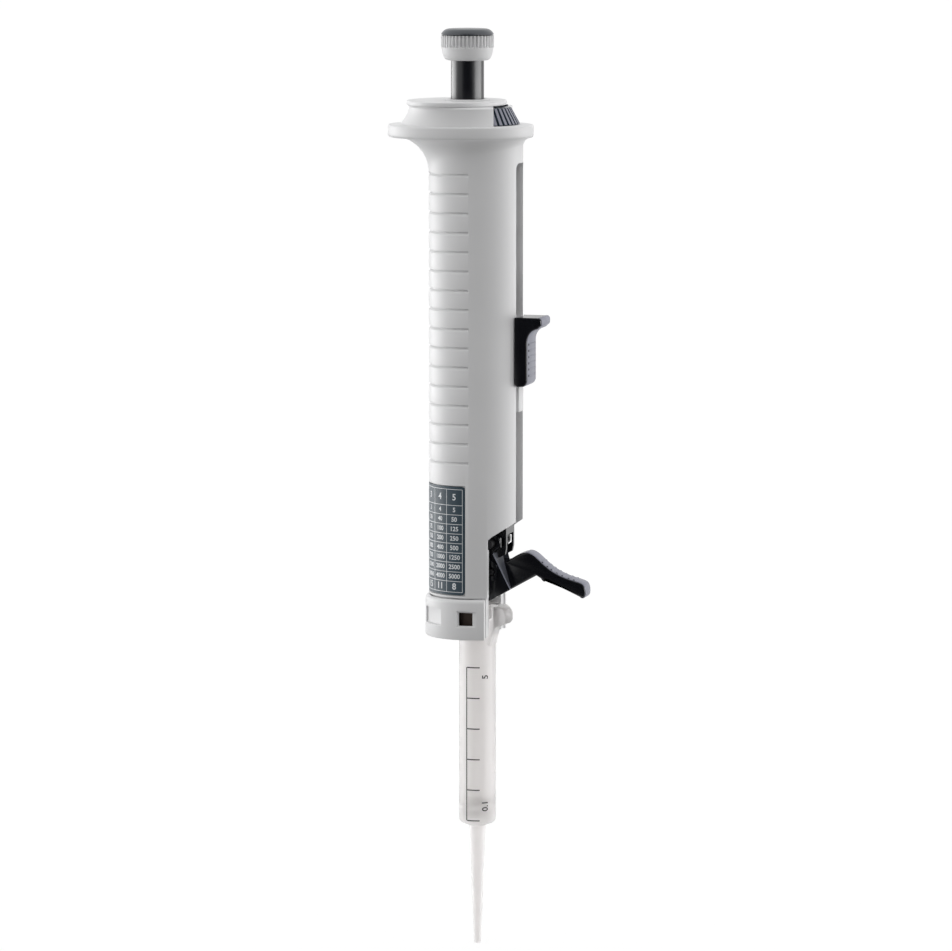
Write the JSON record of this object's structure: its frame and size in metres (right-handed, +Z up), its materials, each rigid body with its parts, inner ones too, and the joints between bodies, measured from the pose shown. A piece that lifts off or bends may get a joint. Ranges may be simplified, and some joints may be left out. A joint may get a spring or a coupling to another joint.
{
  "type": "repeating pipette",
  "caption": "Hand-held positive-displacement dispenser with a fill slider, dispensing lever, volume dial, release button and a fitted syringe tip.",
  "frame": {"origin": "centre of the nozzle's open end, on the tip's axis", "axes": "+Z up along the tip's axis to the button, +X to the front, where the slider and lever are, +Y to the left, seen looking out along +X"},
  "size_m": [0.0692, 0.0412, 0.3091],
  "materials": {
    "body_shell": "satin moulded plastic",
    "top_collar": "satin moulded plastic",
    "guide_bush": "satin moulded plastic",
    "tip_holder": "satin moulded plastic",
    "near_catch": "dark spring steel",
    "far_catch": "dark spring steel",
    "near_pivot_pin": "turned or drawn",
    "far_pivot_pin": "turned or drawn",
    "near_lock_pin": "turned or drawn",
    "far_lock_pin": "turned or drawn",
    "label_plate": "printed film",
    "guide_plate": "moulded plastic",
    "pawl_bracket": "moulded plastic",
    "hold_pawl_pin": "turned or drawn",
    "detent_ball": "turned or drawn",
    "detent_spring": "turned or drawn",
    "tip_barrel": "moulded polypropylene",
    "near_collar_screw": "turned or drawn",
    "far_collar_screw": "turned or drawn",
    "lock_spring": "turned or drawn",
    "lever_return_spring": "turned or drawn",
    "fill_slider": "satin moulded plastic",
    "slider_carriage": "satin moulded plastic",
    "toothed_rack": "moulded plastic",
    "piston_clamp": "satin moulded plastic",
    "near_jaw": "turned or drawn",
    "far_jaw": "turned or drawn",
    "lower_slider_screw": "turned or drawn",
    "upper_slider_screw": "turned or drawn",
    "tip_piston_rod": "moulded polypropylene",
    "tip_piston_seal": "moulded rubber",
    "dispensing_lever": "satin moulded plastic",
    "near_cam_pin": "turned or drawn",
    "far_cam_pin": "turned or drawn",
    "drive_frame": "moulded plastic",
    "drive_pawl_pin": "turned or drawn",
    "drive_pawl": "turned or drawn",
    "hold_pawl": "turned or drawn",
    "volume_dial": "satin moulded plastic",
    "dial_cam": "moulded plastic",
    "stop_rod": "turned or drawn",
    "button_cap": "satin moulded plastic",
    "button_ring": "satin moulded plastic",
    "button_stem": "satin moulded plastic",
    "stem_retainer": "turned or drawn",
    "stem_foot": "moulded plastic",
    "foot_screw": "turned or drawn",
    "eject_rod": "turned or drawn",
    "release_yoke": "moulded plastic",
    "button_spring": "turned or drawn",
    "tip_lock_lever": "satin moulded plastic"
  },
  "bodies": {
    "housing": {"body_shell": "body_shell", "top_collar": "top_collar", "guide_bush": "guide_bush", "tip_holder": "tip_holder", "near_catch": "near_catch", "far_catch": "far_catch", "near_pivot_pin": "near_pivot_pin", "far_pivot_pin": "far_pivot_pin", "near_lock_pin": "near_lock_pin", "far_lock_pin": "far_lock_pin", "label_plate": "label_plate", "guide_plate": "guide_plate", "pawl_bracket": "pawl_bracket", "hold_pawl_pin": "hold_pawl_pin", "detent_ball": "detent_ball", "detent_spring": "detent_spring", "tip_barrel": "tip_barrel", "near_collar_screw": "near_collar_screw", "far_collar_screw": "far_collar_screw", "lock_spring": "lock_spring", "lever_return_spring": "lever_return_spring"},
    "piston_drive": {"fill_slider": "fill_slider", "slider_carriage": "slider_carriage", "toothed_rack": "toothed_rack", "piston_clamp": "piston_clamp", "near_jaw": "near_jaw", "far_jaw": "far_jaw", "lower_slider_screw": "lower_slider_screw", "upper_slider_screw": "upper_slider_screw", "tip_piston_rod": "tip_piston_rod", "tip_piston_seal": "tip_piston_seal"},
    "lever": {"dispensing_lever": "dispensing_lever", "near_cam_pin": "near_cam_pin", "far_cam_pin": "far_cam_pin"},
    "frame": {"drive_frame": "drive_frame", "drive_pawl_pin": "drive_pawl_pin"},
    "driving_pawl": {"drive_pawl": "drive_pawl"},
    "holding_pawl": {"hold_pawl": "hold_pawl"},
    "dial": {"volume_dial": "volume_dial", "dial_cam": "dial_cam"},
    "stop": {"stop_rod": "stop_rod"},
    "button": {"button_cap": "button_cap", "button_ring": "button_ring", "button_stem": "button_stem", "stem_retainer": "stem_retainer", "stem_foot": "stem_foot", "foot_screw": "foot_screw", "eject_rod": "eject_rod", "release_yoke": "release_yoke", "button_spring": "button_spring"},
    "lock_lever": {"tip_lock_lever": "tip_lock_lever"}
  },
  "joints": [
    {"name": "fill_slide", "type": "slide", "parent": "housing", "child": "piston_drive", "axis": [0, 0, 1], "range_m": [0, 0.051]},
    {"name": "lever_press", "type": "hinge", "parent": "housing", "child": "lever", "pos_m": [0.00655, 0, 0.1377], "axis": [0, 1, 0], "range_deg": [0, 28], "stiffness_Nm_per_rad": 0.03, "springref_deg": -17.19},
    {"name": "drive_travel", "type": "slide", "parent": "housing", "child": "frame", "axis": [0, 0, -1], "range_m": [0, 0.0051]},
    {"name": "drive_pawl_swing", "type": "hinge", "parent": "frame", "child": "driving_pawl", "pos_m": [-0.0004, 0, 0.2096], "axis": [0, 1, 0], "range_deg": [0, 12], "stiffness_Nm_per_rad": 0.01, "springref_deg": -11.46},
    {"name": "hold_pawl_swing", "type": "hinge", "parent": "housing", "child": "holding_pawl", "pos_m": [-0.0004, 0, 0.1972], "axis": [0, 1, 0], "range_deg": [0, 12], "stiffness_Nm_per_rad": 0.01, "springref_deg": -11.46},
    {"name": "dial_turn", "type": "hinge", "parent": "housing", "child": "dial", "pos_m": [-0.00344, 0, 0.2776], "axis": [0, 0, 1], "range_deg": [0, 240]},
    {"name": "stop_travel", "type": "slide", "parent": "housing", "child": "stop", "axis": [0, 0, 1], "range_m": [0, 0.00408]},
    {"name": "button_press", "type": "slide", "parent": "housing", "child": "button", "axis": [0, 0, -1], "range_m": [0, 0.008], "stiffness_N_per_m": 200, "springref_m": -0.01, "deforming": ["button_spring"]},
    {"name": "lock_tilt", "type": "hinge", "parent": "housing", "child": "lock_lever", "pos_m": [0.0039, 0, 0.1079], "axis": [0, -1, 0], "range_deg": [0, 12]}
  ],
  "couplings": [
    {"joint": "lever_press", "follows": "drive_travel", "rad_per_m": 95.82},
    {"joint": "dial_turn", "follows": "stop_travel", "rad_per_m": 1026.6}
  ]
}
